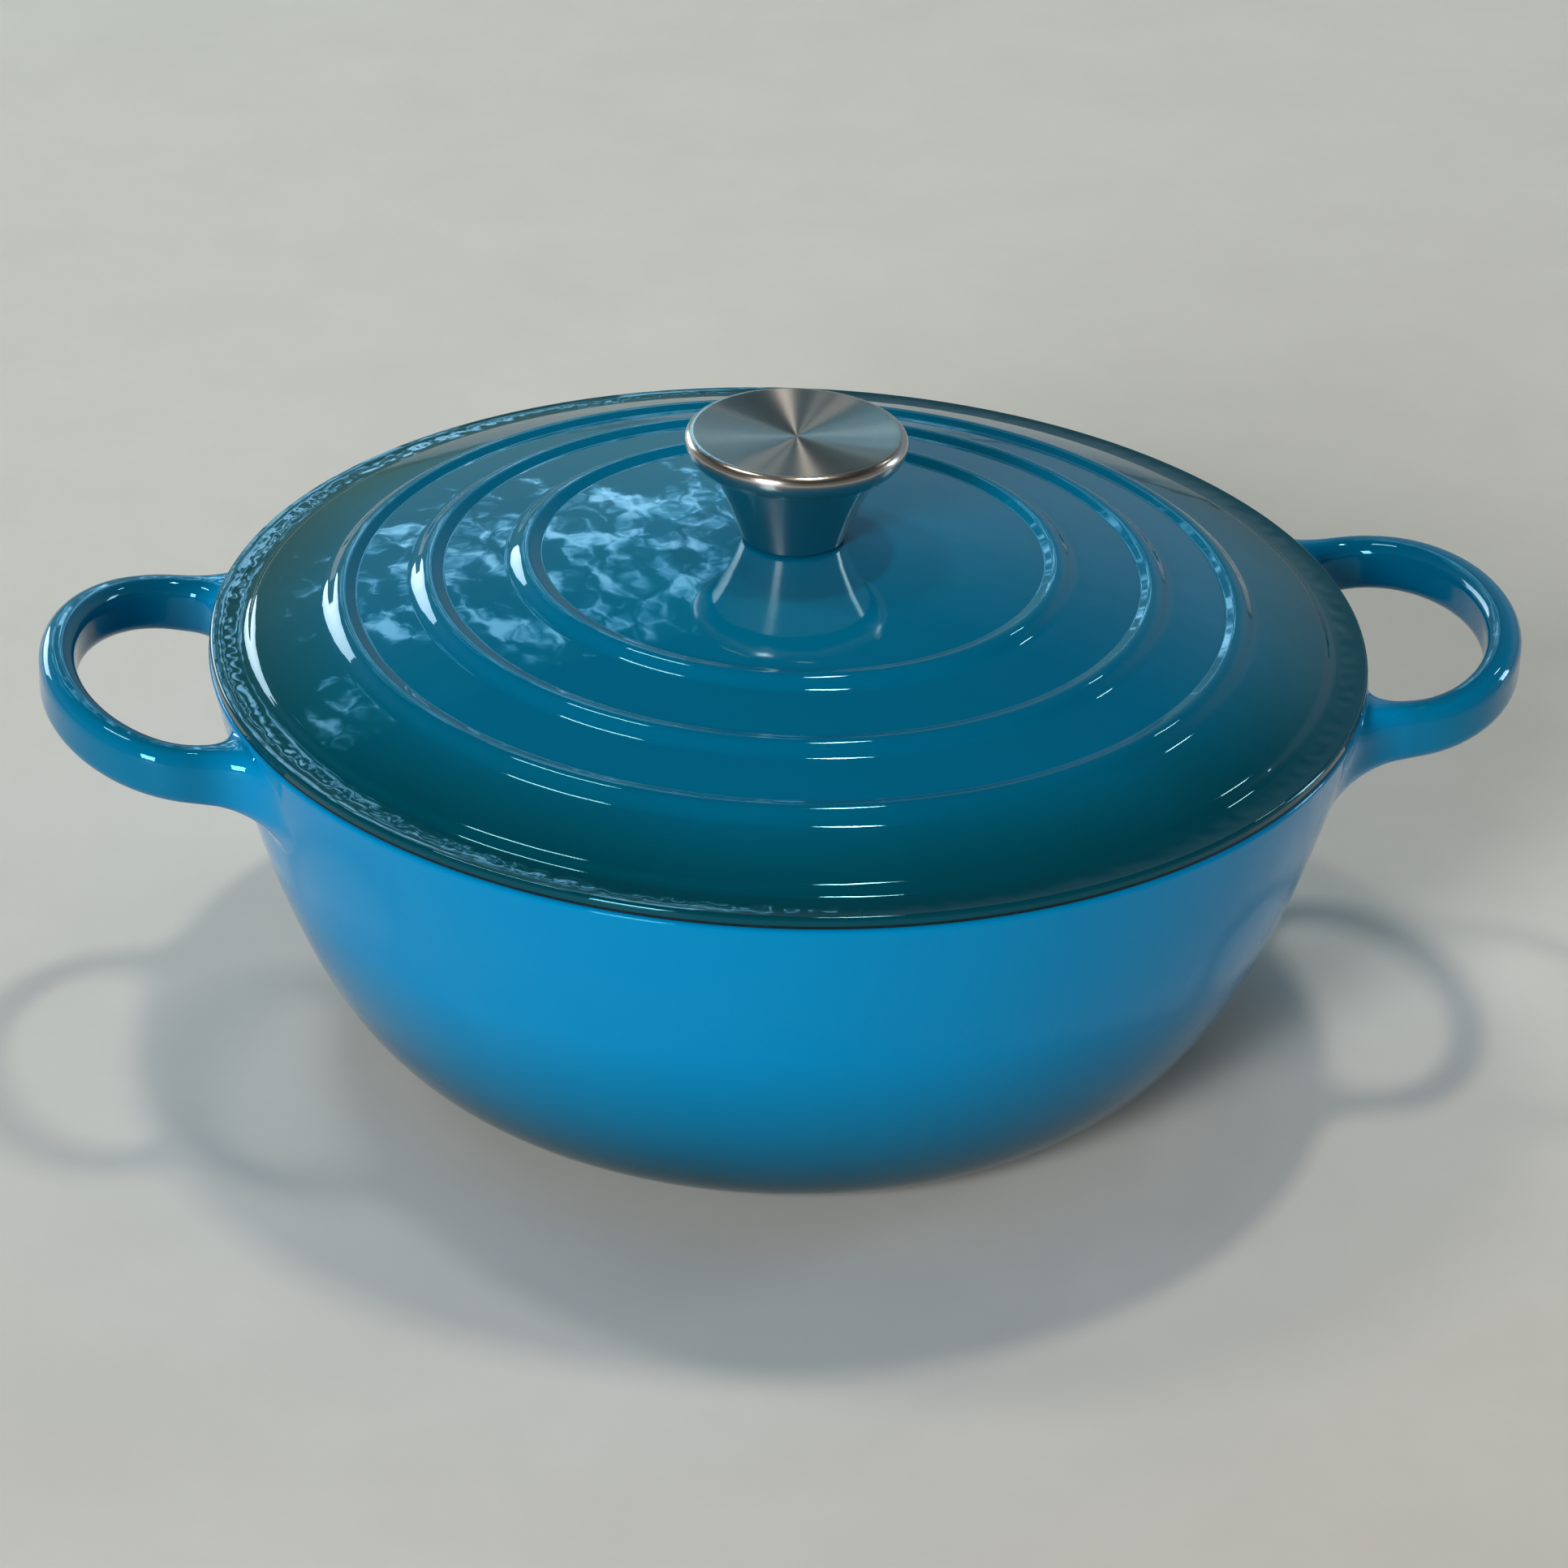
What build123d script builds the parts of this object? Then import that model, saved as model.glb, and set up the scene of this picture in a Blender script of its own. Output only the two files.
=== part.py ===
from build123d import *
from math import cos, pi, radians, sin, sqrt
import os

# Round-bottomed cast iron dutch oven with a domed, ringed lid and a steel knob.
# Millimetres. +Z is up, the origin is under the middle of the pot on the surface it stands on,
# and the two loop handles lie along X.

# Pot: overall sizes
POT_HEIGHT = 95.7
RIM_OUTER_RADIUS = 134.0
FOOT_RADIUS = 81.2
WALL = 4.4
FLOOR = 5.2

# Pot: how far the wall's curve is pulled as it leaves the rim and as it runs into the foot
WALL_PULL_IN = 12.4
WALL_PULL_DOWN = 57.0
FOOT_PULL_OUT = 24.7

# Pot: rim edge, the straight stretch of wall just under it, and how far above the rim the hollow is cut
RIM_EDGE_ROUND = 1.0
RIM_COLLAR = 3.0
MOUTH_CUT = 2.0

# Pot: foot ring and the shallow recess inside it
FOOT_RING_WIDTH = 9.0
FOOT_RECESS = 1.0

# Loop handles: centre line beyond the rim, section, and roots in the wall
HANDLE_STANDOFF = 34.1
HANDLE_STRAIGHT = 6.0
HANDLE_HALF_SPREAD = 42.1
HANDLE_THICKNESS = 8.3
HANDLE_DEPTH = 12.8
HANDLE_CORNER = 3.5
HANDLE_ROOT_DROP = 2.8
HANDLE_SLOPE = 0.174
HANDLE_ROOT_FLARE = 20.0
HANDLE_ROOT_OUTER_SHARE = 0.4
HANDLE_ROOT_TOP_SHARE = 0.25
HANDLE_ROOT_LOW_SHARE = 0.4
HANDLE_ROOT_CORNER_SHARE = 0.3
HANDLE_ROOT_SINK = 16.0
HANDLE_BEND_STATIONS = 10
HANDLE_ROOT_STATIONS = 4

# Lid: overall sizes, and how far its edge stays inside the pot's rim
LID_INSET = 0.5
LID_EDGE_HEIGHT = 3.0
LID_DOME_RISE = 23.45
LID_WALL = 3.8

# Lid: dished rim flange and the shoulder above it
FLANGE_WIDTH = 8.3
FLANGE_RISE = 0.5
FLANGE_DISH = 0.2
SHOULDER_WIDTH = 1.6
SHOULDER_RISE = 2.0
SHOULDER_ROUND = 3.4
LID_TOP_CORNER = 1.0
LID_LOW_CORNER = 0.8

# Lid: the three raised rings, counted from the shoulder inwards
RING_SHOULDER_GAP = 16.55
RING_PITCHES = (19.9, 22.3)
RING_INNER_SLOPE = 3.65
RING_OUTER_SLOPE = 3.4
RING_HEIGHT = 2.15
RING_CREASE_ROUND = 0.9
RING_CREST_ROUND = 3.4
RING_FOOT_ROUND = 4.5

# Lid: locating ring underneath and its play in the pot
LID_PLAY = 2.0
LOCATOR_DEPTH = 5.0
LOCATOR_WIDTH = 3.4
LOCATOR_ROUND = 1.2

# Lid: pad on top that the knob stands on, and boss underneath for its screw
PAD_RISE = 0.5
PAD_INSET = 2.5
PAD_SIDE = 0.5
BOSS_RADIUS = 13.0
BOSS_DEPTH = 2.7

# Knob: overall sizes, then its cap and its stem, both of one sheet
KNOB_RIM_RADIUS = 25.4
KNOB_RIM_HEIGHT = 23.8
KNOB_BASE_RADIUS = 11.8
KNOB_SHEET = 1.2
KNOB_DISH = 1.0
RIM_OVER_ROUND = 1.9
RIM_UNDER_ROUND = 5.1
SEAM_LEDGE = 2.6
STEM_WAIST_HEIGHT = 10.4
STEM_WAIST_RADIUS = 16.0
STEM_PLATE = 2.0
STEM_FOOT_ROUND = 0.3

# Knob fixing: a 6 mm screw from below, through the lid, into a bush inside the stem
SCREW_RADIUS = 3.0
SCREW_GRIP = 11.0
SCREW_HOLE_CLEARANCE = 0.4
THREAD_CLEARANCE = 0.05
SCREW_HEAD_RADIUS = 6.0
SCREW_HEAD_HEIGHT = 3.4
SCREW_HEAD_ROUND = 1.6
SCREW_SLOT_WIDTH = 1.6
SCREW_SLOT_DEPTH = 1.6
WASHER_RADIUS = 9.0
WASHER_THICKNESS = 1.2
BUSH_WALL = 2.0
BUSH_HEIGHT = 13.0
BUSH_FLANGE = 2.0
BUSH_FLANGE_PLAY = 2.1

# Points of an outline closer than this are one corner
SAME_PLACE = 1e-4

# Radii worked out from the sizes above
RIM_INNER_RADIUS = RIM_OUTER_RADIUS - WALL
LID_RADIUS = RIM_OUTER_RADIUS - LID_INSET
FLANGE_RADIUS = LID_RADIUS - FLANGE_WIDTH
SHOULDER_RADIUS = FLANGE_RADIUS - SHOULDER_WIDTH
DOME_HEIGHT = LID_DOME_RISE - SHOULDER_RISE
DOME_RADIUS = (SHOULDER_RADIUS**2 + DOME_HEIGHT**2) / (2 * DOME_HEIGHT)
SEAM_RADIUS = KNOB_RIM_RADIUS - RIM_UNDER_ROUND
LIP_RADIUS = KNOB_RIM_RADIUS - RIM_OVER_ROUND
HOLE_RADIUS = SCREW_RADIUS + SCREW_HOLE_CLEARANCE

# Levels worked out from the sizes above
LID_EDGE_TOP = POT_HEIGHT + LID_EDGE_HEIGHT
DOME_TOP = LID_EDGE_TOP + LID_DOME_RISE
KNOB_SEAT = DOME_TOP + PAD_RISE
PLATE_TOP = KNOB_SEAT + STEM_PLATE
BOSS_FACE = DOME_TOP - LID_WALL - BOSS_DEPTH
HEAD_SEAT = BOSS_FACE - WASHER_THICKNESS
KNOB_RIM_LEVEL = KNOB_SEAT + KNOB_RIM_HEIGHT
SEAM_LEVEL = KNOB_RIM_LEVEL - RIM_UNDER_ROUND


def point(radius, height):
    """A point of a half section: distance from the axis and height."""
    return Vector(radius, 0, height)


def lines(*points):
    """Straight edges through the points, in order."""
    return [Line(a, b) for a, b in zip(points, points[1:])]


def arc(centre, radius, start, end):
    """An arc about a point of the half section, between two angles in degrees up from outwards."""
    angles = [radians(degrees) for degrees in (start, (start + end) / 2, end)]
    return ThreePointArc(*[centre + point(radius * cos(a), radius * sin(a)) for a in angles])


def turned(edges, rounds=()):
    """The solid that a closed half section makes in a full turn, with some of its corners rounded.

    rounds holds pairs of a corner radius and the list of corners that take it."""
    section = make_face(edges)
    for radius, corners in rounds:
        places = [(v, v.center()) for v in section.vertices()]
        chosen = [v for v, place in places if any((place - c).length < SAME_PLACE for c in corners)]
        section = fillet(chosen, radius)
    return revolve(section, Axis.Z, 360)


def bowl(rim_radius, foot_radius, foot_level, top):
    """A solid bowl: a curved wall from the foot to the rim, closed on top by straight edges.

    top lists the corners from the axis to the rim. The rim's own corner is rounded."""
    rim = point(rim_radius, POT_HEIGHT)
    foot = point(foot_radius, foot_level)
    pull = point(WALL_PULL_IN, WALL_PULL_DOWN)
    collar = rim - pull.normalized() * RIM_COLLAR
    wall = Bezier(collar, rim - pull, foot + point(FOOT_PULL_OUT, 0), foot)
    edges = lines(rim, collar) + [wall] + lines(foot, point(0, foot_level), *top, rim)
    return turned(edges, [(RIM_EDGE_ROUND, [rim])])


def handle():
    """A loop handle on the +X side: roots that widen into the wall, joined by half an ellipse."""
    sunk = RIM_OUTER_RADIUS - HANDLE_ROOT_SINK
    bend_start = RIM_OUTER_RADIUS + HANDLE_STRAIGHT
    bend = HANDLE_STANDOFF - HANDLE_STRAIGHT
    wall_face = sqrt(RIM_OUTER_RADIUS**2 - HANDLE_HALF_SPREAD**2)
    root_level = POT_HEIGHT - HANDLE_ROOT_DROP - HANDLE_DEPTH / 2

    def section(along, across, direction, flare=0):
        """A rounded upright section, square to the way the centre line runs."""
        level = root_level + HANDLE_SLOPE * (along - wall_face)
        above = HANDLE_DEPTH / 2 + flare * HANDLE_ROOT_TOP_SHARE
        below = HANDLE_DEPTH / 2 + flare * HANDLE_ROOT_LOW_SHARE
        outside = HANDLE_THICKNESS / 2 + flare * HANDLE_ROOT_OUTER_SHARE
        inside = HANDLE_THICKNESS / 2 + flare
        outward = Vector(direction.Y, -direction.X, 0)
        middle = Vector(along, across, level) + outward * (outside - inside) / 2
        plane = Plane(middle + Vector(0, 0, above - below) / 2, x_dir=outward, z_dir=direction)
        corner = HANDLE_CORNER + flare * HANDLE_ROOT_CORNER_SHARE
        return plane * RectangleRounded(inside + outside, above + below, corner)

    first_root = []
    last_root = []
    for step in range(HANDLE_ROOT_STATIONS):
        share = step / HANDLE_ROOT_STATIONS
        along = sunk + (bend_start - sunk) * share
        flare = HANDLE_ROOT_FLARE * (1 - share) ** 2
        first_root.append(section(along, -HANDLE_HALF_SPREAD, Vector(1, 0, 0), flare))
        last_root.append(section(along, HANDLE_HALF_SPREAD, Vector(-1, 0, 0), flare))
    loop = []
    for step in range(HANDLE_BEND_STATIONS + 1):
        angle = pi * (step / HANDLE_BEND_STATIONS - 0.5)
        along = bend_start + bend * cos(angle)
        across = HANDLE_HALF_SPREAD * sin(angle)
        direction = Vector(-bend * sin(angle), HANDLE_HALF_SPREAD * cos(angle), 0).normalized()
        loop.append(section(along, across, direction))
    return loft(first_root + loop + last_root[::-1])


def make_pot():
    """One casting: the bowl with both handles on it, hollowed, with a foot ring."""
    mouth = POT_HEIGHT + MOUTH_CUT
    pot = bowl(RIM_OUTER_RADIUS, FOOT_RADIUS, 0, [point(0, POT_HEIGHT)])
    for turn in (0, 180):
        pot += Rot(0, 0, turn) * handle()
    past_rim = RIM_OUTER_RADIUS + WALL
    above = [point(0, mouth), point(past_rim, mouth), point(past_rim, POT_HEIGHT)]
    pot -= bowl(RIM_INNER_RADIUS, FOOT_RADIUS - WALL, FLOOR, above)
    pot -= Pos(0, 0, FOOT_RECESS / 2) * Cylinder(FOOT_RADIUS - FOOT_RING_WIDTH, FOOT_RECESS)
    return pot


def dome_level(radius, depth=0):
    """Height of the lid's dome at a distance from its axis, or of the surface that deep under it."""
    return DOME_TOP - DOME_RADIUS + sqrt((DOME_RADIUS - depth) ** 2 - radius**2)


def dome_arc(start, end, depth=0):
    """The dome's curve between two distances from the axis."""
    places = (start, (start + end) / 2, end)
    return ThreePointArc(*[point(radius, dome_level(radius, depth)) for radius in places])


def ring_creases():
    """Inner crease radius of each raised ring, innermost first."""
    crease = SHOULDER_RADIUS - RING_SHOULDER_GAP - RING_OUTER_SLOPE - RING_INNER_SLOPE
    creases = [crease]
    for pitch in RING_PITCHES:
        crease -= pitch
        creases.append(crease)
    return creases[::-1]


def make_lid():
    """One casting: dome with raised rings, rim flange, locating ring underneath, pad and boss."""
    pad = point(KNOB_BASE_RADIUS - PAD_INSET, KNOB_SEAT)
    smooth_from = pad.X + PAD_SIDE
    top = lines(point(HOLE_RADIUS, KNOB_SEAT), pad, point(smooth_from, dome_level(smooth_from)))
    creases = []
    crests = []
    feet = []
    for crease_radius in ring_creases():
        crest_radius = crease_radius + RING_INNER_SLOPE
        foot_radius = crest_radius + RING_OUTER_SLOPE
        crease = point(crease_radius, dome_level(crease_radius))
        crest = point(crest_radius, dome_level(crest_radius) + RING_HEIGHT)
        foot = point(foot_radius, dome_level(foot_radius))
        top += [dome_arc(smooth_from, crease_radius)] + lines(crease, crest, foot)
        creases.append(crease)
        crests.append(crest)
        feet.append(foot)
        smooth_from = foot_radius

    shoulder = point(SHOULDER_RADIUS, dome_level(SHOULDER_RADIUS))
    flange = point(FLANGE_RADIUS, LID_EDGE_TOP + FLANGE_RISE)
    edge_top = point(LID_RADIUS, LID_EDGE_TOP)
    edge_low = point(LID_RADIUS, POT_HEIGHT)
    dish = (flange + edge_top) / 2 - point(0, FLANGE_DISH)
    rim = [dome_arc(smooth_from, SHOULDER_RADIUS)] + lines(shoulder, flange)
    rim += [ThreePointArc(flange, dish, edge_top)] + lines(edge_top, edge_low)

    locator_outer = RIM_INNER_RADIUS - LID_PLAY
    locator_inner = locator_outer - LOCATOR_WIDTH
    locator_low = POT_HEIGHT - LOCATOR_DEPTH
    tips = [point(locator_outer, locator_low), point(locator_inner, locator_low)]
    under = lines(edge_low, point(locator_outer, POT_HEIGHT), *tips)
    under += lines(tips[1], point(locator_inner, dome_level(locator_inner, LID_WALL)))
    under += [dome_arc(locator_inner, BOSS_RADIUS, LID_WALL)]
    under += lines(
        point(BOSS_RADIUS, dome_level(BOSS_RADIUS, LID_WALL)),
        point(BOSS_RADIUS, BOSS_FACE),
        point(HOLE_RADIUS, BOSS_FACE),
        point(HOLE_RADIUS, KNOB_SEAT),
    )
    rounds = [
        (RING_CREASE_ROUND, creases),
        (RING_CREST_ROUND, crests),
        (RING_FOOT_ROUND, feet),
        (SHOULDER_ROUND, [shoulder, flange]),
        (LID_TOP_CORNER, [edge_top]),
        (LID_LOW_CORNER, [edge_low]),
        (LOCATOR_ROUND, tips),
    ]
    return turned(top + rim + under, rounds)


def make_knob_cap():
    """Spun shell: dished top, rim rounded over and under, and a flat ledge that meets the stem."""
    lip_centre = point(LIP_RADIUS, KNOB_RIM_LEVEL)
    seam_centre = point(SEAM_RADIUS, KNOB_RIM_LEVEL)
    ledge_end = point(SEAM_RADIUS - SEAM_LEDGE, SEAM_LEVEL)
    dish_level = KNOB_RIM_LEVEL + RIM_OVER_ROUND - KNOB_DISH

    def face(inset):
        """The shell's outer face, or the face that deep inside it, from the middle to the seam."""
        dish = point(0, dish_level - inset)
        halfway = point(LIP_RADIUS / 2, dish.Z + KNOB_DISH / 4)
        lip = lip_centre + point(0, RIM_OVER_ROUND - inset)
        return [
            ThreePointArc(dish, halfway, lip),
            arc(lip_centre, RIM_OVER_ROUND - inset, 90, 0),
            arc(seam_centre, RIM_UNDER_ROUND - inset, 0, -90),
        ]

    sheet = point(0, KNOB_SHEET)
    ledge = lines(point(SEAM_RADIUS, SEAM_LEVEL), ledge_end, ledge_end + sheet)
    ledge += lines(ledge_end + sheet, point(SEAM_RADIUS, SEAM_LEVEL) + sheet)
    middle = lines(point(0, dish_level), point(0, dish_level) - sheet)
    return turned(face(0) + ledge + face(KNOB_SHEET) + middle)


def make_knob_stem():
    """Flared shell from the pad on the lid up to the cap's ledge, closed by a plate at its foot."""
    foot = point(KNOB_BASE_RADIUS, KNOB_SEAT)
    waist = point(STEM_WAIST_RADIUS, KNOB_SEAT + STEM_WAIST_HEIGHT)
    seam = point(SEAM_RADIUS, SEAM_LEVEL)
    sheet = point(KNOB_SHEET, 0)
    plate_edge = point(KNOB_BASE_RADIUS, PLATE_TOP) - sheet
    edges = [ThreePointArc(foot, waist, seam)] + lines(seam, seam - sheet)
    edges.append(ThreePointArc(seam - sheet, waist - sheet, plate_edge))
    edges += lines(plate_edge, point(HOLE_RADIUS, PLATE_TOP), point(HOLE_RADIUS, KNOB_SEAT), foot)
    return turned(edges, [(STEM_FOOT_ROUND, [foot])])


def make_knob_bush():
    """Flanged bush that stands on the stem's plate and takes the screw."""
    bore = SCREW_RADIUS + THREAD_CLEARANCE
    outside = SCREW_RADIUS + BUSH_WALL
    flange = KNOB_BASE_RADIUS - KNOB_SHEET - BUSH_FLANGE_PLAY
    top = PLATE_TOP + BUSH_HEIGHT
    flange_top = PLATE_TOP + BUSH_FLANGE
    corners = [(bore, PLATE_TOP), (flange, PLATE_TOP), (flange, flange_top)]
    corners += [(outside, flange_top), (outside, top), (bore, top), (bore, PLATE_TOP)]
    return turned(lines(*[point(*corner) for corner in corners]))


def make_knob_screw():
    """Screw with a slotted round head under the lid and its shank up in the bush."""
    head_low = HEAD_SEAT - SCREW_HEAD_HEIGHT
    tip = PLATE_TOP + SCREW_GRIP
    corners = [(0, head_low), (SCREW_HEAD_RADIUS, head_low), (SCREW_HEAD_RADIUS, HEAD_SEAT)]
    corners += [(SCREW_RADIUS, HEAD_SEAT), (SCREW_RADIUS, tip), (0, tip), (0, head_low)]
    head_edge = point(SCREW_HEAD_RADIUS, head_low)
    screw = turned(lines(*[point(*corner) for corner in corners]), [(SCREW_HEAD_ROUND, [head_edge])])
    slot = Box(2 * SCREW_HEAD_RADIUS, SCREW_SLOT_WIDTH, 2 * SCREW_SLOT_DEPTH)
    return screw - Pos(0, 0, head_low) * slot


def make_screw_washer():
    """Flat washer between the screw's head and the lid's boss."""
    corners = [(HOLE_RADIUS, HEAD_SEAT), (WASHER_RADIUS, HEAD_SEAT), (WASHER_RADIUS, BOSS_FACE)]
    corners += [(HOLE_RADIUS, BOSS_FACE), (HOLE_RADIUS, HEAD_SEAT)]
    return turned(lines(*[point(*corner) for corner in corners]))


pieces = {
    "pot_body": make_pot(),
    "lid": make_lid(),
    "knob_cap": make_knob_cap(),
    "knob_stem": make_knob_stem(),
    "knob_bush": make_knob_bush(),
    "knob_screw": make_knob_screw(),
    "screw_washer": make_screw_washer(),
}

os.makedirs("parts", exist_ok=True)
for name, piece in pieces.items():
    export_step(piece, f"parts/{name}.step")
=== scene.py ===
from math import atan2, ceil, cos, pi, radians, sin, sqrt, tan

import bmesh
import bpy
import numpy as np
from mathutils import Matrix, Vector


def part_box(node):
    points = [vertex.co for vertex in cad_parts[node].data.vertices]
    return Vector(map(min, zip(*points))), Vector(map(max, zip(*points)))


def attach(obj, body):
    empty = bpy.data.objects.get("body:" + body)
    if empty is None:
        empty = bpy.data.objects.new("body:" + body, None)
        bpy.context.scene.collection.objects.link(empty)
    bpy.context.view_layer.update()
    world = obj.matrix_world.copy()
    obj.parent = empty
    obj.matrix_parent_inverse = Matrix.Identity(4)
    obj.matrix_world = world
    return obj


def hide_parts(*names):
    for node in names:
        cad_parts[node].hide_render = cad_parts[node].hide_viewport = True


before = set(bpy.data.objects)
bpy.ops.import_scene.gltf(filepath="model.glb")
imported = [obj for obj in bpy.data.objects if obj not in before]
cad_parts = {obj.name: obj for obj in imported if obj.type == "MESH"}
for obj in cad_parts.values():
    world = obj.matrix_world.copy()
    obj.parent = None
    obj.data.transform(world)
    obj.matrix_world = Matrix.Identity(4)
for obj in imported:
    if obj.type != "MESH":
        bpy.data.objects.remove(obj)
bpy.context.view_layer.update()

# Metres throughout. The pot stands on z = 0 and its handles lie along X.

# Low and high corners of the CAD pieces' boxes
pot_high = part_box("pot_body")[1]
lid_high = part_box("lid")[1]
cap_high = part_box("knob_cap")[1]
stem_low, stem_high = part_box("knob_stem")
washer_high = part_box("screw_washer")[1]

# Pot: bowl
RIM_LEVEL = 0.0957
RIM_RADIUS = 0.134
FOOT_RADIUS = 0.0812
WALL = 0.0044
BOTTOM = 0.0052
WALL_PULL = Vector((0.0124, 0.057))
FOOT_PULL_OUT = 0.0247
RIM_ROUND = 0.001
RIM_COLLAR = 0.003
RIM_BAND = 0.0016
FOOT_RING_WIDTH = 0.009
FOOT_RECESS = 0.001
RECESS_ROUND = 0.0006

# Pot: handles, each half an ellipse between two arms
HANDLE_THICKNESS = 0.0083
HANDLE_DEPTH = 0.0128
HANDLE_CORNER = 0.0035
HANDLE_STRAIGHT = 0.006
HANDLE_HALF_SPREAD = 0.0421
HANDLE_ROOT_DROP = 0.0028
HANDLE_SLOPE = 0.174
HANDLE_REACH = pot_high.x - HANDLE_THICKNESS / 2
HANDLE_BEND_START = RIM_RADIUS + HANDLE_STRAIGHT
HANDLE_ROOT_LEVEL = RIM_LEVEL - HANDLE_ROOT_DROP - HANDLE_DEPTH / 2

# Pot: fillets at the handles' roots, the lift of their top towards the rim, and their ends sunk in the wall
ROOT_RUN = 0.012
ROOT_INNER_ROUND = 0.014
ROOT_OUTER_ROUND = 0.009
ROOT_LOW_ROUND = 0.009
ROOT_TOP_ROUND = 0.0004
ROOT_LIFT = 0.0018
ROOT_LIFT_FROM = 0.128
ROOT_LIFT_TO = 0.15
ROOT_SKIRT = 0.0008
ROOT_SKIRT_SUNK = 0.0001
ROOT_END_SUNK = 0.002

# Knob: cap and stem
KNOB_RIM_RADIUS = cap_high.x
KNOB_TOP = cap_high.z
SEAM_LEVEL = stem_high.z
KNOB_SEAT = stem_low.z
KNOB_SHEET = 0.0012
KNOB_DISH = 0.001
RIM_OVER_ROUND = 0.0019
RIM_UNDER_ROUND = 0.0051
SEAM_LEDGE = 0.0026
STEM_BASE_RADIUS = 0.0118
STEM_WAIST_RADIUS = 0.016
STEM_WAIST_HEIGHT = 0.0104
STEM_PLATE = 0.002
STEM_FOOT_ROUND = 0.0003

# Lid: overall sizes, rim flange and shoulder
LID_RADIUS = lid_high.x
LID_EDGE_HEIGHT = 0.003
LID_EDGE_TOP = RIM_LEVEL + LID_EDGE_HEIGHT
LID_WALL = 0.0038
PAD_RISE = 0.0005
DOME_TOP = KNOB_SEAT - PAD_RISE
FLANGE_WIDTH = 0.0083
FLANGE_RISE = 0.0005
FLANGE_DISH = 0.0003
SHOULDER_WIDTH = 0.0016
SHOULDER_RISE = 0.002
SHOULDER_ROUND = 0.0034
SHOULDER_RADIUS = LID_RADIUS - FLANGE_WIDTH - SHOULDER_WIDTH
DOME_HEIGHT = DOME_TOP - LID_EDGE_TOP - SHOULDER_RISE
DOME_RADIUS = (SHOULDER_RADIUS**2 + DOME_HEIGHT**2) / (2 * DOME_HEIGHT)
LID_TOP_CORNER = 0.001
LID_LOW_CORNER = 0.0008
LID_DARK_EDGE = 0.001

# Lid: inner crease radius of each raised ring, and the rings' shape
RING_CREASES = (0.0578, 0.0801, 0.1)
RING_INNER_SLOPE = 0.00365
RING_OUTER_SLOPE = 0.0034
RING_HEIGHT = 0.00215
RING_CREASE_ROUND = 0.0009
RING_CREST_ROUND = 0.0034
RING_FOOT_ROUND = 0.0045

# Lid: locating ring underneath, pad for the knob, and boss for its screw
LID_PLAY = 0.002
LOCATOR_RADIUS = RIM_RADIUS - WALL - LID_PLAY
LOCATOR_WIDTH = 0.0034
LOCATOR_DEPTH = 0.005
LOCATOR_ROUND = 0.0012
PAD_INSET = 0.0025
PAD_RADIUS = STEM_BASE_RADIUS - PAD_INSET
PAD_SIDE = 0.0005
PAD_ROUND = 0.0003
BOSS_RADIUS = 0.013
BOSS_ROUND = 0.0008
BOSS_FACE = washer_high.z
HOLE_RADIUS = 0.0034

# Mesh fineness
POT_TURN_STEPS = 320
LID_TURN_STEPS = 288
KNOB_TURN_STEPS = 192
CORNER_STEP = radians(7)
CORNER_LEAST_STEPS = 3
CORNER_SUPPORT = 0.00015
SHARP_ANGLE = radians(35)
DOME_STEP = 0.0022
DOME_LEAST_STEPS = 2
WALL_STEPS = 72
DISH_STEPS = 12
STEM_STEPS = 40
FACE_STEPS = 24
RIM_STEPS = 18
SECTION_ARC_STEPS = 7
SECTION_SIDE_STEPS = 5
LOOP_STEPS = 120
ROOT_STEPS = 16
ROOT_SEARCHES = 8
ON_AXIS = 1e-7

# Camera of the photograph: a long lens, 1932 pixels square
CAMERA_PLACE = (-0.1662, -1.0734, 0.6548)
CAMERA_HEADING = radians(81.2)
CAMERA_PITCH = radians(28.82)
CAMERA_ROLL = radians(2.08)
CAMERA_LENS = 121.1
CAMERA_SENSOR = 36.0

# Lid enamel: colours along lid_share, tint and index of its gloss, and depths of its peel and beads
LID_MIDDLE = (0.0, 0.15, 0.285)
LID_BLUE = (0.0, 0.132, 0.255)
LID_TEAL = (0.0, 0.088, 0.145)
LID_DARK = (0.0, 0.062, 0.095)
LID_FLANGE = (0.0, 0.052, 0.078)
LID_STOPS = [(0.3, LID_MIDDLE), (0.55, LID_BLUE), (0.74, LID_BLUE)]
LID_STOPS += [(0.85, LID_TEAL), (0.92, LID_DARK), (0.97, LID_FLANGE)]
LID_GLINT = (0.25, 0.8, 1.0)
LID_INDEX = 1.5
LID_PEEL = 0.00007
LID_BEADS = 0.00016

# Pot enamel: the same along pot_share, which stops growing with height this far under the rim
# The dark and teal stops towards the foot are partly the enamel's own ombré and partly painted shade on the
# underside
POT_DARK = (0.0, 0.05, 0.075)
POT_TEAL = (0.0, 0.155, 0.31)
POT_BLUE = (0.0, 0.24, 0.52)
HANDLE_BLUE = (0.0, 0.152, 0.305)
POT_STOPS = [(0.1, POT_DARK), (0.34, POT_TEAL), (0.6, POT_BLUE), (0.8, POT_BLUE), (0.91, HANDLE_BLUE)]
POT_SHARE_DROP = 0.02
POT_GLINT = (0.2, 0.8, 1.0)
POT_INDEX = 1.28
HANDLE_GLINT = (0.3, 0.8, 1.0)
HANDLE_INDEX = 1.5
POT_PEEL = 0.00006
POT_BEADS = 0.00002

# Painted shade on the inner side of a handle's loop, and how softly it starts
LOOP_PAINTED_SHADE = 0.58
LOOP_SHADE_BLUR = 0.06

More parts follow.
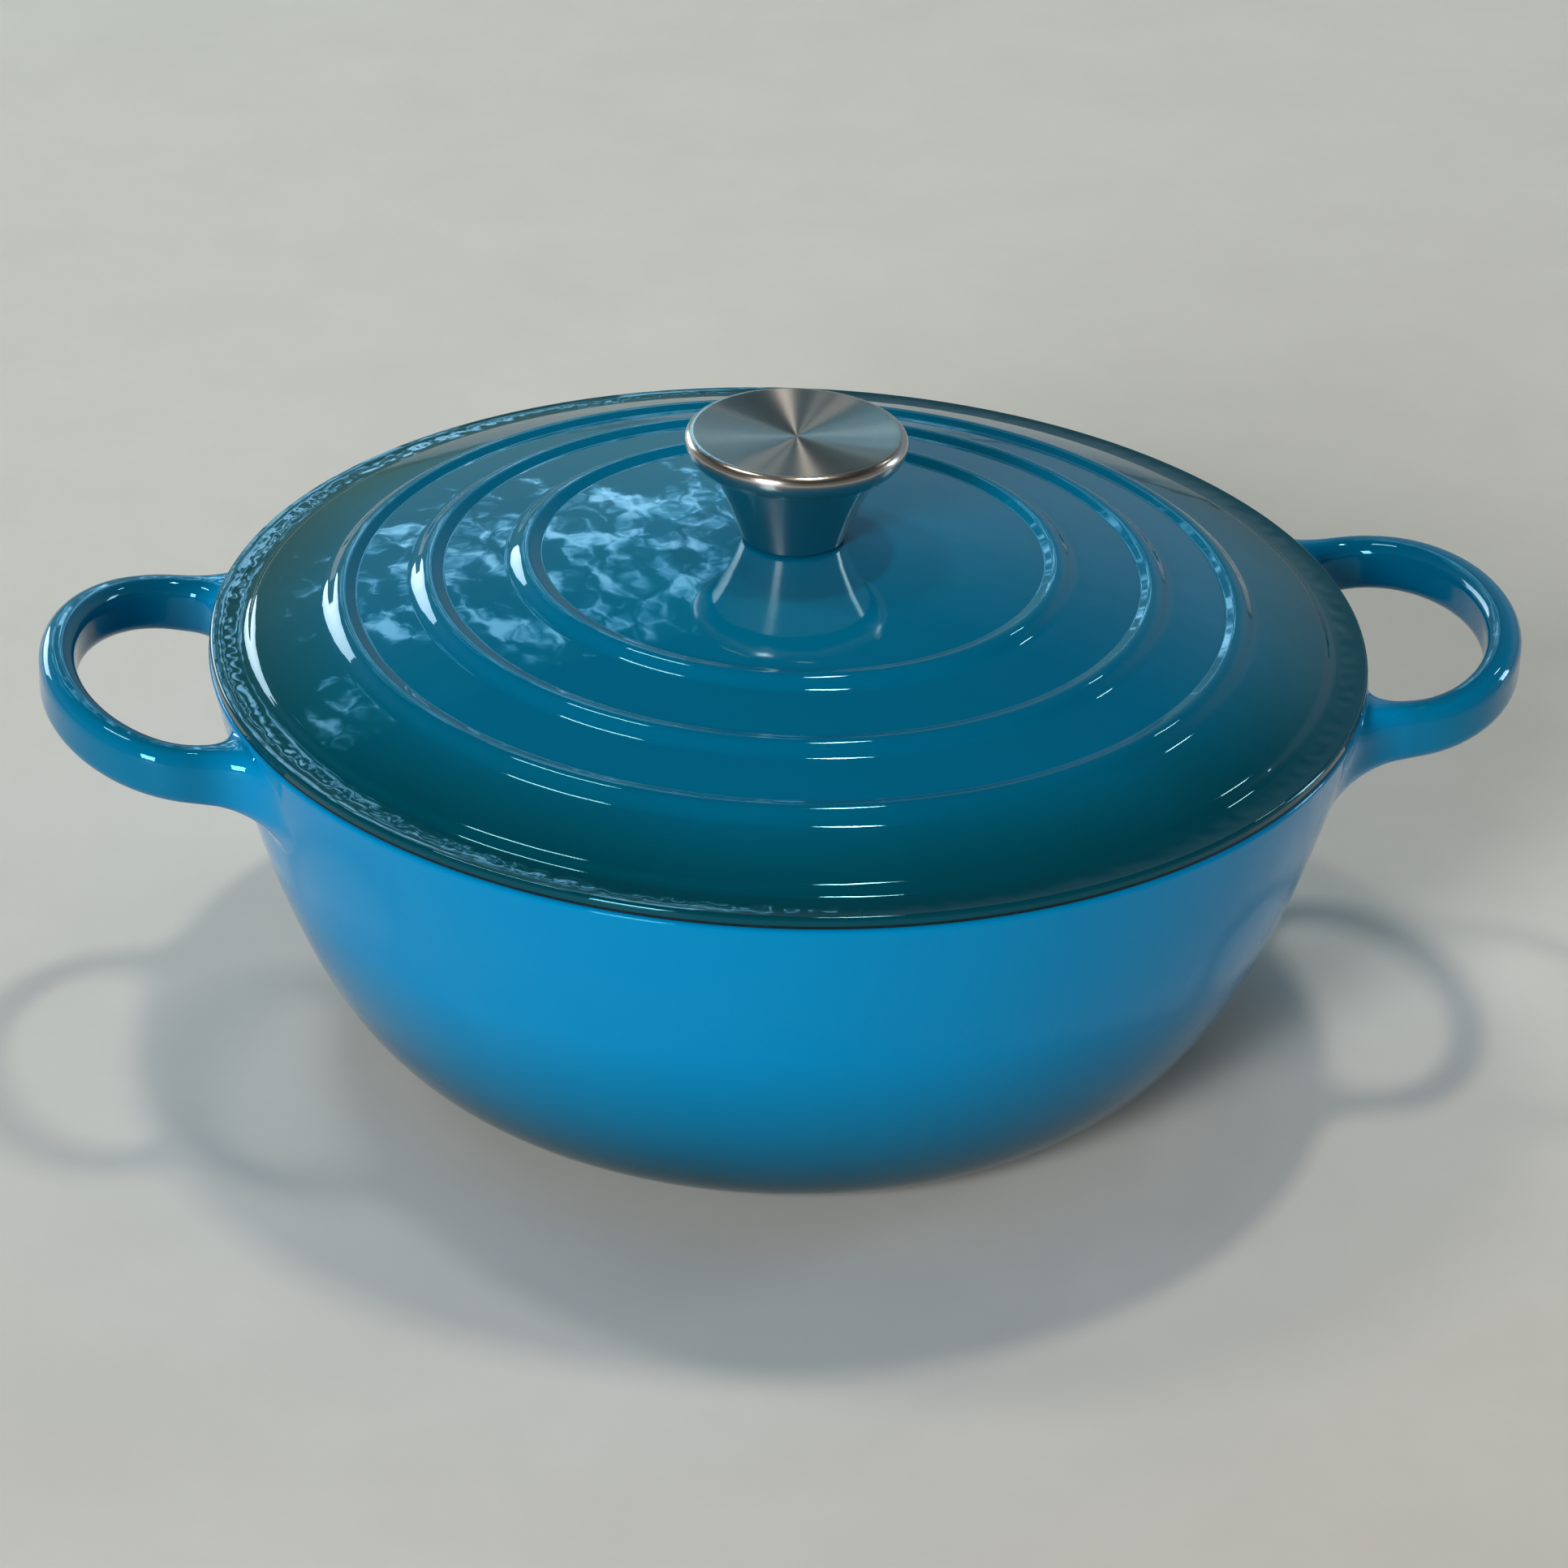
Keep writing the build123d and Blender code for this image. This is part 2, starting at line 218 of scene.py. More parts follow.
# All gloss enamel: drift of its colour, roughness, orange peel, and beads with a fine ripple to either side
CLOUD_SIZE = 0.05
CLOUD_DRIFT = 0.04
GLOSS_SIZE = 0.02
GLOSS_ROUGHNESS = (0.02, 0.05)
PEEL_SIZE = 0.009
BEAD_SIZE = 0.0045
BEADS_COME = (0.95, 0.957)
BEADS_GO = (0.976, 0.982)
RIPPLE_SHARE = 1 / 6

# Sand enamel inside, and dark matt enamel on the edges where pot and lid meet
LINING_STOPS = [(0.3, (0.56, 0.48, 0.36)), (0.7, (0.66, 0.58, 0.46))]
LINING_SIZE = 0.006
LINING_DEPTH = 0.00003
LINING_ROUGHNESS = (0.08, 0.16)
EDGE_STOPS = [(0.4, (0.002, 0.009, 0.013)), (0.75, (0.006, 0.026, 0.036))]
EDGE_SIZE = 0.0008
EDGE_DEPTH = 0.00004
EDGE_ROUGHNESS = (0.35, 0.6)
EDGE_SPECULAR = 0.15

# Steel: colours, widths and depths of its lines, how much denser they are up a side, and how it varies
# The top face's steel is darker than the rim's and the stem's: painted shade for the dim room it reflects
SHADED_FACE_STEEL = (0.31, 0.29, 0.27)
STEM_STEEL = (0.58, 0.58, 0.56)
RIM_STEEL = (0.56, 0.51, 0.47)
FIXING_STEEL = (0.5, 0.49, 0.47)
FINE_LINE = 0.00012
COARSE_LINE = 0.0012
BRUSHED_DEPTH = 0.0000005
TURNED_DEPTH = 0.000002
SIDE_DENSITY = 1.7
STEEL_DARKEST = 0.92
STEEL_ROUGH_SPREAD = 0.05
QUARTER_TURN = 0.25

# Floor
FLOOR_HALF_SIZE = 6.0
FLOOR_STOPS = [(0.3, (0.67, 0.66, 0.62)), (0.7, (0.71, 0.7, 0.66))]
FLOOR_CLOUD_SIZE = 0.05
FLOOR_GLOSS_SIZE = 0.03
FLOOR_ROUGHNESS = (0.5, 0.6)
FLOOR_SPECULAR = 0.25

# Lamps: name, azimuth and elevation in degrees, distance, width and height, radiance and tint
WHITE = (1, 1, 1)
WARM = (1.0, 0.93, 0.82)
COOL = (0.8, 0.92, 1.0)
SKY = (0.42, 0.75, 1.0)
LAMPS = [
    ("overhead_lamp", 26.5, 77.1, 1.9, (0.11, 0.25), 70, WARM),
    ("left_lamp", -55, 64, 2.2, (0.18, 0.45), 20, WARM),
    ("right_lamp", 42.4, 41.8, 2.2, (0.1, 0.14), 18, WARM),
    ("front_softbox", -152, 21, 6.0, (1.4, 2.6), 20, WHITE),
    ("left_window", -40, 12, 2.9, (1.2, 0.8), 5.5, COOL),
    ("right_window", 66, 14, 3.0, (0.45, 0.95), 9, COOL),
]
LEAFY_LAMP = ("back_window", -20, 20, 3.0, (1.9, 2.5), 4.2, SKY)

# Lamps: the place they aim at, and the watts that give a square metre of lamp a radiance of 1
LAMP_TARGET = Vector((0, 0, 0.08))
LAMP_POWER = 4

# Leaves before the back window, and the middle and reach of the gaps in them, as shares of its face
LEAF_SIZE = 0.05
LEAF_STRETCH = (1.0, 0.45, 1.0)
LEAF_STOPS = [(0.49, (0.008, 0.03, 0.012)), (0.53, (0.16, 0.3, 0.34)), (0.6, WHITE)]
SKY_GAPS = [((0.28, 0.68, 0.0), 0.28), ((0.75, 0.93, 0.0), 0.07)]

# Room: colours from level (0) to straight up (1), and the gain towards its far wall
ROOM_PALE = (0.19, 0.187, 0.18)
ROOM_STOPS = [(0.0, (0.14, 0.138, 0.13)), (0.2, ROOM_PALE), (0.36, ROOM_PALE), (0.62, (0.03, 0.029, 0.027))]
FAR_WALL_AZIMUTH = 35.0
FAR_WALL_STOPS = [(0.6, WHITE), (0.9, (1.5, 2.0, 2.4))]

# Node graphs


class Graph:
    """A node tree under construction."""

    def __init__(self, tree):
        self.tree = tree

    def add(self, kind, values=None, **settings):
        """A new node. Values are numbers, colours or sockets, by input name or number."""
        node = self.tree.nodes.new("ShaderNode" + kind)
        for key, value in settings.items():
            setattr(node, key, value)
        for key, value in (values or {}).items():
            self.put(node, key, value)
        return node

    def put(self, node, key, value):
        """Sets an input of a node, or links a socket into it."""
        if isinstance(value, bpy.types.NodeSocket):
            self.tree.links.new(value, node.inputs[key])
        else:
            node.inputs[key].default_value = value

    def math(self, operation, *values):
        """The result of a Math node."""
        return self.add("Math", dict(enumerate(values)), operation=operation).outputs[0]

    def ramp(self, share, stops):
        """A colour along a share of 0 to 1, from (place, colour) stops."""
        node = self.add("ValToRGB", {"Fac": share})
        marks = node.color_ramp.elements
        while len(marks) < len(stops):
            marks.new(0.5)
        for mark, (place, colour) in zip(marks, stops):
            mark.position = place
            mark.color = (*colour, 1)
        return node.outputs["Color"]

    def noise(self, place, size, detail=1.0, roughness=0.5, distortion=0.0):
        """Cloudy noise of 0 to 1 with features about that large."""
        values = {"Vector": place, "Scale": 1 / size, "Detail": detail, "Roughness": roughness}
        values["Distortion"] = distortion
        return self.add("TexNoise", values).outputs["Fac"]

    def lines(self, across, width, detail):
        """Streaks of 0 to 1 about that wide, along a distance across them."""
        values = {"W": across, "Scale": 1 / width, "Detail": detail}
        return self.add("TexNoise", values, noise_dimensions="1D").outputs["Fac"]

    def share(self, value, start, end):
        """How far a value has come from start to end, as 0 to 1."""
        return self.add("MapRange", {"Value": value, "From Min": start, "From Max": end}).outputs["Result"]

    def spread(self, value, low, high):
        """A value of 0 to 1 mapped to a range."""
        return self.add("MapRange", {"Value": value, "To Min": low, "To Max": high}).outputs["Result"]

    def place(self):
        """Place on the piece in metres."""
        return self.add("TexCoord").outputs["Object"]

    def radius(self, place):
        """Distance from the Z axis."""
        flat = self.add("VectorMath", {0: place, 1: (1, 1, 0)}, operation="MULTIPLY").outputs["Vector"]
        return self.add("VectorMath", {0: flat}, operation="LENGTH").outputs["Value"]

    def height(self, place):
        """Height above the ground."""
        return self.add("SeparateXYZ", {0: place}).outputs["Z"]

    def bump(self, height, distance, under=None):
        """A normal roughened by a height of 0 to 1, over another normal if one is given."""
        values = {"Height": height, "Distance": distance, "Strength": 1.0}
        if under:
            values["Normal"] = under
        return self.add("Bump", values).outputs["Normal"]


def new_material(name):
    """A material with its graph and its shader node."""
    material = bpy.data.materials.new(name)
    material.use_nodes = True
    return material, Graph(material.node_tree), material.node_tree.nodes["Principled BSDF"]


# Materials


def enamel(name, share_of, stops, peel, beads, glint, index, painted_shade_of=None):
    """Glossy vitreous enamel, sprayed in a graded colour, with an orange peel that beads near the edge.

    The colour is scaled by a painted shade, if one is given."""
    material, graph, shader = new_material(name)
    place = graph.place()
    share = share_of(graph, place)
    cloud = graph.spread(graph.noise(place, CLOUD_SIZE, detail=3), -CLOUD_DRIFT, CLOUD_DRIFT)
    colour = graph.ramp(graph.math("ADD", share, cloud), stops)
    if painted_shade_of:
        with_painted_shade = graph.add("VectorMath", {0: colour, "Scale": painted_shade_of(graph, place)}, operation="SCALE")
        colour = with_painted_shade.outputs["Vector"]
    graph.put(shader, "Base Color", colour)
    gloss = graph.noise(place, GLOSS_SIZE, detail=2)
    graph.put(shader, "Roughness", graph.spread(gloss, *GLOSS_ROUGHNESS))
    wave = graph.bump(graph.noise(place, PEEL_SIZE, detail=0.5), peel)
    ripple = (peel * RIPPLE_SHARE,) * 3
    beaded = (beads,) * 3
    depths = (ripple, beaded, beaded, ripple)
    bead_depth = graph.ramp(share, list(zip(BEADS_COME + BEADS_GO, depths)))
    graph.put(shader, "Normal", graph.bump(graph.noise(place, BEAD_SIZE, detail=0), bead_depth, wave))
    shader.inputs["Specular Tint"].default_value = (*glint, 1)
    shader.inputs["IOR"].default_value = index
    return material


def lid_share(graph, place):
    """Share of the lid's radius."""
    return graph.math("DIVIDE", graph.radius(place), LID_RADIUS)


def pot_share(graph, place):
    """Share of the pot's height up to a little under the rim, carried on outwards along the handles."""
    past_rim = graph.math("SUBTRACT", graph.radius(place), RIM_RADIUS)
    handle = graph.math("MAXIMUM", past_rim, 0.0)
    capped = graph.math("MINIMUM", graph.height(place), RIM_LEVEL - POT_SHARE_DROP)
    return graph.math("DIVIDE", graph.math("ADD", capped, handle), RIM_LEVEL)


def painted_loop_shade(graph, place):
    """Painted shade: darker on the inner side of a handle's loop, from the rim outwards."""
    spot = graph.add("SeparateXYZ", {0: place}).outputs
    past_bend = graph.math("SUBTRACT", graph.math("ABSOLUTE", spot["X"]), HANDLE_BEND_START)
    along = graph.math("DIVIDE", graph.math("MAXIMUM", past_bend, 0.0), HANDLE_REACH - HANDLE_BEND_START)
    across = graph.math("DIVIDE", spot["Y"], HANDLE_HALF_SPREAD)
    squares = graph.math("ADD", graph.math("MULTIPLY", along, along), graph.math("MULTIPLY", across, across))
    inner = graph.share(graph.math("SQRT", squares), 1 + LOOP_SHADE_BLUR, 1 - LOOP_SHADE_BLUR)
    outward = graph.share(graph.radius(place), RIM_RADIUS, HANDLE_BEND_START)
    return graph.spread(graph.math("MULTIPLY", inner, outward), 1.0, LOOP_PAINTED_SHADE)


lid_enamel = enamel("lid_enamel", lid_share, LID_STOPS, LID_PEEL, LID_BEADS, LID_GLINT, LID_INDEX)
pot_enamel = enamel("pot_enamel", pot_share, POT_STOPS, POT_PEEL, POT_BEADS, POT_GLINT, POT_INDEX)
# Handle enamel: the pot's colours, with painted shade on the inner side of each loop
handle_enamel = enamel(
    "handle_enamel", pot_share, POT_STOPS, POT_PEEL, POT_BEADS, HANDLE_GLINT, HANDLE_INDEX, painted_loop_shade
)


def lining_enamel():
    """Pale sand enamel of the inside, faintly mottled."""
    material, graph, shader = new_material("lining_enamel")
    place = graph.place()
    mottle = graph.noise(place, LINING_SIZE, detail=6, roughness=0.7)
    graph.put(shader, "Base Color", graph.ramp(mottle, LINING_STOPS))
    gloss = graph.noise(place, GLOSS_SIZE, detail=2)
    graph.put(shader, "Roughness", graph.spread(gloss, *LINING_ROUGHNESS))
    graph.put(shader, "Normal", graph.bump(graph.noise(place, LINING_SIZE), LINING_DEPTH))
    return material


def edge_enamel():
    """Dark matt enamel of the edges that the pot and the lid meet on."""
    material, graph, shader = new_material("edge_enamel")
    speckle = graph.noise(graph.place(), EDGE_SIZE, detail=4, roughness=0.7)
    graph.put(shader, "Base Color", graph.ramp(speckle, EDGE_STOPS))
    graph.put(shader, "Roughness", graph.spread(speckle, *EDGE_ROUGHNESS))
    graph.put(shader, "Normal", graph.bump(speckle, EDGE_DEPTH))
    shader.inputs["Specular IOR Level"].default_value = EDGE_SPECULAR
    return material


def steel(name, colour, rough, depth, anisotropy):
    """Stainless steel with fine lines that run round the Z axis."""
    material, graph, shader = new_material(name)
    place = graph.place()
    up = graph.math("MULTIPLY", graph.height(place), SIDE_DENSITY)
    across = graph.math("ADD", graph.radius(place), up)
    fine = graph.lines(across, FINE_LINE, detail=3)
    coarse = graph.lines(across, COARSE_LINE, detail=2)
    mix = graph.math("MULTIPLY", graph.math("ADD", fine, coarse), 0.5)
    dark = tuple(STEEL_DARKEST * part for part in colour)
    rough_spread = (rough * (1 - STEEL_ROUGH_SPREAD), rough * (1 + STEEL_ROUGH_SPREAD))
    graph.put(shader, "Base Color", graph.ramp(mix, [(0.3, dark), (0.7, colour)]))
    graph.put(shader, "Roughness", graph.spread(mix, *rough_spread))
    graph.put(shader, "Normal", graph.bump(fine, depth))
    shader.inputs["Metallic"].default_value = 1.0
    shader.inputs["Anisotropic"].default_value = anisotropy
    shader.inputs["Anisotropic Rotation"].default_value = QUARTER_TURN
    tangent = graph.add("Tangent", direction_type="RADIAL", axis="Z")
    graph.put(shader, "Tangent", tangent.outputs["Tangent"])
    return material


lining = lining_enamel()
dark_edge = edge_enamel()
brushed_steel = steel("brushed_steel", SHADED_FACE_STEEL, rough=0.28, depth=BRUSHED_DEPTH, anisotropy=1.0)
stem_steel = steel("stem_steel", STEM_STEEL, rough=0.2, depth=BRUSHED_DEPTH, anisotropy=0.97)
polished_steel = steel("polished_steel", RIM_STEEL, rough=0.24, depth=BRUSHED_DEPTH, anisotropy=0.6)
turned_steel = steel("turned_steel", FIXING_STEEL, rough=0.32, depth=TURNED_DEPTH, anisotropy=0.4)


def floor_material():
    """Plain pale floor with a very faint unevenness."""
    material, graph, shader = new_material("pale_floor")
    place = graph.place()
    cloud = graph.noise(place, FLOOR_CLOUD_SIZE, detail=6, roughness=0.65)
    graph.put(shader, "Base Color", graph.ramp(cloud, FLOOR_STOPS))
    gloss = graph.noise(place, FLOOR_GLOSS_SIZE, detail=2)
    graph.put(shader, "Roughness", graph.spread(gloss, *FLOOR_ROUGHNESS))
    shader.inputs["Specular IOR Level"].default_value = FLOOR_SPECULAR
    return material


# Outlines: a corner is (radius, height, rounding), and a run is a finish with its corners


def dome_level(radius, depth=0.0):
    """Height of the lid's dome, or of the surface that deep under it."""
    return DOME_TOP - DOME_RADIUS + sqrt((DOME_RADIUS - depth) ** 2 - radius**2)


def dome_run(start, end, depth=0.0):
    """Corners along the dome between two radii, ends left out."""
    count = max(DOME_LEAST_STEPS, int(abs(end - start) / DOME_STEP))
    radii = [start + (end - start) * step / count for step in range(1, count)]
    return [(radius, dome_level(radius, depth), 0.0) for radius in radii]


def arc_run(centre, radius, start, end, count):
    """Corners on an arc about a point, between two angles, ends kept."""
    angles = [start + (end - start) * step / count for step in range(count + 1)]
    return [(centre[0] + radius * cos(a), centre[1] + radius * sin(a), 0.0) for a in angles]


def three_point_run(first, middle, last, count):
    """Corners on the circle through three points, ends left out."""
    (ax, ay), (bx, by), (cx, cy) = first, middle, last
    a_square = ax**2 + ay**2
    b_square = bx**2 + by**2
    c_square = cx**2 + cy**2
    double_area = ax * (by - cy) + bx * (cy - ay) + cx * (ay - by)
    x = (a_square * (by - cy) + b_square * (cy - ay) + c_square * (ay - by)) / (2 * double_area)
    y = (a_square * (cx - bx) + b_square * (ax - cx) + c_square * (bx - ax)) / (2 * double_area)
    radius = sqrt((ax - x) ** 2 + (ay - y) ** 2)
    start = atan2(ay - y, ax - x)
    turn = short_turn(atan2(cy - y, cx - x) - start)
    return arc_run((x, y), radius, start, start + turn, count)[1:-1]


def short_turn(angle):
    """The same turn, the short way round."""
    return (angle + pi) % (2 * pi) - pi


def rounded(corners):
    """Points of an outline with its corners rounded by arcs."""
    places = [Vector(corner[:2]) for corner in corners]
    points = [places[0]]
    for before, here, after, corner in zip(places, places[1:], places[2:], corners[1:]):
        rounding = corner[2]
        if rounding == 0:
            points.append(here)
            continue
        back, on = before - here, after - here
        back_room, on_room = back.length, on.length
        back.normalize()
        on.normalize()
        half = back.angle(on) / 2
        cut = rounding / tan(half)
        centre = here + (back + on).normalized() * rounding / sin(half)
        first, last = here + back * cut, here + on * cut
        if back_room > cut + 2 * CORNER_SUPPORT:
            points.append(first + back * CORNER_SUPPORT)
        start = atan2(first.y - centre.y, first.x - centre.x)
        turn = short_turn(atan2(last.y - centre.y, last.x - centre.x) - start)
        count = max(CORNER_LEAST_STEPS, ceil(abs(turn) / CORNER_STEP))
        for step in range(count + 1):
            angle = start + turn * step / count
            points.append(centre + Vector((cos(angle), sin(angle))) * rounding)
        if on_room > cut + 2 * CORNER_SUPPORT:
            points.append(last + on * CORNER_SUPPORT)
    points.append(places[-1])
    return points


def turned(runs, steps, closed=False):
    """Corners, faces and face finishes of an outline turned about Z, its ends joined if it is closed."""
    points, finishes = [], []
    for finish, corners in runs:
        stretch = rounded(corners)
        points += stretch[1:] if points else stretch
        finishes += [finish] * (len(stretch) - 1)
    verts, rows = [], []
    for point in points:
        if point.x < ON_AXIS:
            rows.append([len(verts)] * steps)
            verts.append((0.0, 0.0, point.y))
            continue
        rows.append(list(range(len(verts), len(verts) + steps)))
        for step in range(steps):
            angle = 2 * pi * step / steps
            verts.append((point.x * cos(angle), point.x * sin(angle), point.y))
    if closed:
        rows.append(rows[0])
        finishes.append(finishes[-1])
    faces, face_finishes = [], []
    for low, high, finish in zip(rows, rows[1:], finishes):
        for step in range(steps):
            after = (step + 1) % steps
            corners = dict.fromkeys([low[step], low[after], high[after], high[step]])
            faces.append(tuple(corners))
            face_finishes.append(finish)
    return verts, faces, face_finishes


def joined(*meshes):
    """Several meshes as one."""
    verts, faces, finishes = [], [], []
    for more_verts, more_faces, more_finishes in meshes:
        start = len(verts)
        verts += more_verts
        faces += [tuple(start + corner for corner in face) for face in more_faces]
        finishes += more_finishes
    return verts, faces, finishes


def add_object(name, data):
    """A new object in the scene."""
    thing = bpy.data.objects.new(name, data)
    bpy.context.scene.collection.objects.link(thing)
    return thing


def new_piece(name, mesh_data, materials, body, node):
    """A smooth piece that rides on a body and stands for a CAD node. Materials go by finish."""
    verts, faces, finishes = mesh_data
    mesh = bpy.data.meshes.new(name)
    mesh.from_pydata(verts, [], faces)
    order = list(materials)
    mesh.polygons.foreach_set("material_index", [order.index(finish) for finish in finishes])
    for material in materials.values():
        mesh.materials.append(material)
    work = bmesh.new()
    work.from_mesh(mesh)
    bmesh.ops.recalc_face_normals(work, faces=work.faces)
    work.to_mesh(mesh)
    work.free()
    mesh.polygons.foreach_set("use_smooth", [True] * len(mesh.polygons))
    mesh.set_sharp_from_angle(angle=SHARP_ANGLE)
    piece = add_object(name, mesh)
    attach(piece, body)
    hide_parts(node)


# Pot: bowl


def wall_curve(rim, foot):
    """Corners of a wall from just under the rim to just before the foot, along a cubic curve."""
    rim, foot = Vector(rim), Vector(foot)
    collar = rim - WALL_PULL.normalized() * RIM_COLLAR
    pulls = (collar, rim - WALL_PULL, foot + Vector((FOOT_PULL_OUT, 0)), foot)
    run = []
    for step in range(WALL_STEPS):
        t = step / WALL_STEPS
        weights = ((1 - t) ** 3, 3 * t * (1 - t) ** 2, 3 * t * t * (1 - t), t**3)
        spot = sum((pull * weight for pull, weight in zip(pulls, weights)), Vector((0, 0)))
        run.append((spot.x, spot.y, 0.0))
    return run


OUTER_RIM = (RIM_RADIUS, RIM_LEVEL)
OUTER_FOOT = (FOOT_RADIUS, 0.0)
INNER_RIM = (RIM_RADIUS - WALL, RIM_LEVEL)
INNER_FOOT = (FOOT_RADIUS - WALL, BOTTOM)
OUTER_WALL = wall_curve(OUTER_RIM, OUTER_FOOT)
INNER_WALL = wall_curve(INNER_RIM, INNER_FOOT)


def bowl():
    """The bowl, turned from one outline: underside, outside, rim and lining."""
    recess = FOOT_RADIUS - FOOT_RING_WIDTH
    band = WALL_PULL.normalized() * RIM_BAND
    edge_start = (RIM_RADIUS - RIM_BAND, RIM_LEVEL, 0.0)
    edge_end = (*(Vector(INNER_RIM) - band), 0.0)
    outside = [(0.0, FOOT_RECESS, 0.0), (recess, FOOT_RECESS, RECESS_ROUND), (recess, 0.0, RECESS_ROUND)]
    outside += [(*OUTER_FOOT, 0.0)] + OUTER_WALL[::-1] + [(*OUTER_RIM, RIM_ROUND), edge_start]
    rim = [edge_start, (*INNER_RIM, RIM_ROUND), edge_end]
    inside = [edge_end] + INNER_WALL + [(*INNER_FOOT, 0.0), (0.0, BOTTOM, 0.0)]
    return turned([("outside", outside), ("edge", rim), ("lining", inside)], POT_TURN_STEPS)


# Pot: handles


def section_outline():
    """Upright rounded rectangle of the handle: points (across, up) with outward directions."""
    wide = HANDLE_THICKNESS / 2 - HANDLE_CORNER
    tall = HANDLE_DEPTH / 2 - HANDLE_CORNER
    centres = [(wide, tall), (-wide, tall), (-wide, -tall), (wide, -tall)]
    points = []
    for quarter, (across, up) in enumerate(centres):
        for step in range(SECTION_ARC_STEPS + 1):
            angle = pi / 2 * (quarter + step / SECTION_ARC_STEPS)
            out = (cos(angle), sin(angle))
            points.append((across + HANDLE_CORNER * out[0], up + HANDLE_CORNER * out[1], *out))
        after = centres[(quarter + 1) % 4]
        for step in range(1, SECTION_SIDE_STEPS):
            share = step / SECTION_SIDE_STEPS
            side = (across + (after[0] - across) * share, up + (after[1] - up) * share)
            points.append((side[0] + HANDLE_CORNER * out[0], side[1] + HANDLE_CORNER * out[1], *out))
    return points


def handle_level(along):
    """Height of the handle's centre line at a distance along X."""
    wall_face = sqrt(RIM_RADIUS**2 - HANDLE_HALF_SPREAD**2)
    return HANDLE_ROOT_LEVEL + HANDLE_SLOPE * (along - wall_face)


WALL_LEVELS = [corner[1] for corner in OUTER_WALL][::-1] + [RIM_LEVEL]
WALL_RADII = [corner[0] for corner in OUTER_WALL][::-1] + [RIM_RADIUS]


def wall_along(across, level):
    """Distance along X of the bowl's outer face at a place across and up."""
    return sqrt(np.interp(level, WALL_LEVELS, WALL_RADII) ** 2 - across**2)


def top_lift(along, out_up):
    """How much the handle's top rises on its way in to the rim."""
    share = (ROOT_LIFT_TO - along) / (ROOT_LIFT_TO - ROOT_LIFT_FROM)
    return ROOT_LIFT * min(1.0, max(0.0, share)) ** 2 * max(0.0, out_up)


def root_ring(side, angle, skirt=0.0, sunk=0.0):
    """A ring of the fillet between an arm, at side -1 or 1, and the wall.

    Angle 0 is on the arm and a right angle on the wall. The skirt widens a ring and sunk sinks it."""
    ring = []
    grown = 1 - cos(angle)
    for across, up, out_across, out_up in section_outline():
        side_round = ROOT_INNER_ROUND if out_across > 0 else ROOT_OUTER_ROUND
        upright_round = ROOT_TOP_ROUND if out_up > 0 else ROOT_LOW_ROUND
        extra = skirt * (1 - max(0.0, out_up))
        y = side * (HANDLE_HALF_SPREAD - across - (side_round * grown + extra) * out_across)
        rise = up + (upright_round * grown + extra) * out_up
        x = HANDLE_BEND_START
        for _ in range(ROOT_SEARCHES):
            z = handle_level(x) + top_lift(x, out_up) + rise
            x = wall_along(y, z) + ROOT_RUN * (1 - sin(angle))
        ring.append((x - sunk, y, z))
    return ring


def loop_ring(turn):
    """A ring of the handle's bend, square to the ellipse it follows. A turn of 0 is at the tip."""
    reach = HANDLE_REACH - HANDLE_BEND_START
    x = HANDLE_BEND_START + reach * cos(turn)
    y = HANDLE_HALF_SPREAD * sin(turn)
    run = Vector((-reach * sin(turn), HANDLE_HALF_SPREAD * cos(turn), 0)).normalized()
    inward = Vector((-run.y, run.x, 0))
    ring = []
    for across, up, _, out_up in section_outline():
        spot = Vector((x, y, 0)) + inward * across
        ring.append((spot.x, spot.y, handle_level(x) + top_lift(x, out_up) + up))
    return ring


def handle():
    """A closed loop handle on the +X side, its ends just inside the bowl's wall."""
    angles = [pi / 2 * step / ROOT_STEPS for step in range(ROOT_STEPS + 1)]

    def ends(side):
        """The hidden rings of a root, deepest first."""
        deep = root_ring(side, pi / 2, ROOT_SKIRT, ROOT_END_SUNK)
        return [deep, root_ring(side, pi / 2, ROOT_SKIRT, ROOT_SKIRT_SUNK)]

    rings = ends(-1) + [root_ring(-1, angle) for angle in angles[::-1]]
    rings += [loop_ring(pi * (step / LOOP_STEPS - 0.5)) for step in range(LOOP_STEPS + 1)]
    rings += [root_ring(1, angle) for angle in angles] + ends(1)[::-1]
    count = len(rings[0])
    verts = [spot for ring in rings for spot in ring]
    faces = [tuple(range(count))[::-1], tuple(range(len(verts) - count, len(verts)))]
    for ring in range(len(rings) - 1):
        low = ring * count
        for step in range(count):
            after = (step + 1) % count
            faces.append((low + step, low + after, low + count + after, low + count + step))
    return verts, faces, ["handle"] * len(faces)


def other_side(mesh_data):
    """The same mesh turned half way round the Z axis."""
    verts, faces, finishes = mesh_data
    return [(-x, -y, z) for x, y, z in verts], faces, finishes


right_handle = handle()
pot_mesh = joined(bowl(), right_handle, other_side(right_handle))
pot_finishes = {"outside": pot_enamel, "handle": handle_enamel, "edge": dark_edge, "lining": lining}
new_piece("pot_casting", pot_mesh, pot_finishes, "pot", "pot_body")

# Lid


